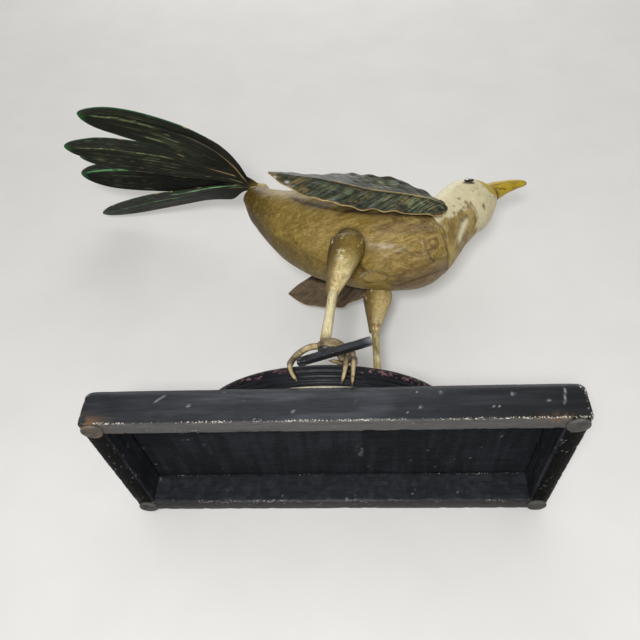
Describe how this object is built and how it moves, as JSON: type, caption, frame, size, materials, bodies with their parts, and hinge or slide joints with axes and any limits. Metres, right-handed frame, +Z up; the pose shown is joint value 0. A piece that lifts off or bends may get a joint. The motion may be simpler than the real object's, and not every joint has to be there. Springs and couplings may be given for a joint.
{
  "type": "bird figurine",
  "caption": "Carved bird with sheet-metal leaf wings and a fanned tail, one foot clasping a bar, on an oval reeded platform and a hollow box base.",
  "frame": {"origin": "centre of the bounding box's underside, in the plane of the four glides' undersides", "axes": "+X towards the beak, along the base's length; +Y to the bird's left; +Z up"},
  "size_m": [0.6164, 0.2406, 0.4746],
  "materials": {
    "black_paint": "worn satin black paint over wood",
    "glide": "worn dark brown",
    "ochre_varnish": "cream paint antiqued with ochre varnish",
    "cream_paint": "cream paint, brown shading",
    "yellow_paint": "yellow ochre paint",
    "bare_wood": "bare",
    "green_sheet": "dark green paint with light strokes",
    "brown_sheet": "dark brown, green on the outside",
    "steel": "dull steel",
    "eye_bead": "glossy black"
  },
  "bodies": {
    "root": {"front_rail": "black_paint", "back_rail": "black_paint", "left_end_rail": "black_paint", "right_end_rail": "black_paint", "top_panel": "black_paint", "glide_front_left": "glide", "glide_front_right": "glide", "glide_back_left": "glide", "glide_back_right": "glide", "platform": "black_paint", "perch_bar": "black_paint", "right_thigh": "ochre_varnish", "right_thigh_dowel": "bare_wood", "right_hind_toe": "cream_paint", "right_inner_toe": "cream_paint", "right_middle_toe": "cream_paint", "right_outer_toe": "cream_paint", "right_foot": "cream_paint", "right_shank": "cream_paint", "left_thigh": "ochre_varnish", "left_thigh_dowel": "bare_wood", "left_inner_toe": "cream_paint", "left_middle_toe": "cream_paint", "left_outer_toe": "cream_paint", "left_hind_toe": "cream_paint", "left_foot": "cream_paint", "left_shank": "cream_paint", "left_foot_pin": "steel", "body": "ochre_varnish", "head": "cream_paint", "neck_dowel": "bare_wood", "beak": "yellow_paint", "right_eye": "eye_bead", "left_eye": "eye_bead", "right_wing": "green_sheet", "left_wing": "brown_sheet", "right_wing_nail_1": "steel", "left_wing_nail_1": "steel", "right_wing_nail_2": "steel", "left_wing_nail_2": "steel", "tail_feather_1": "green_sheet", "tail_feather_2": "green_sheet", "tail_feather_3": "green_sheet", "tail_feather_4": "green_sheet", "tail_feather_5": "green_sheet", "tail_nail_1": "steel", "tail_nail_2": "steel"}
  },
  "joints": []
}
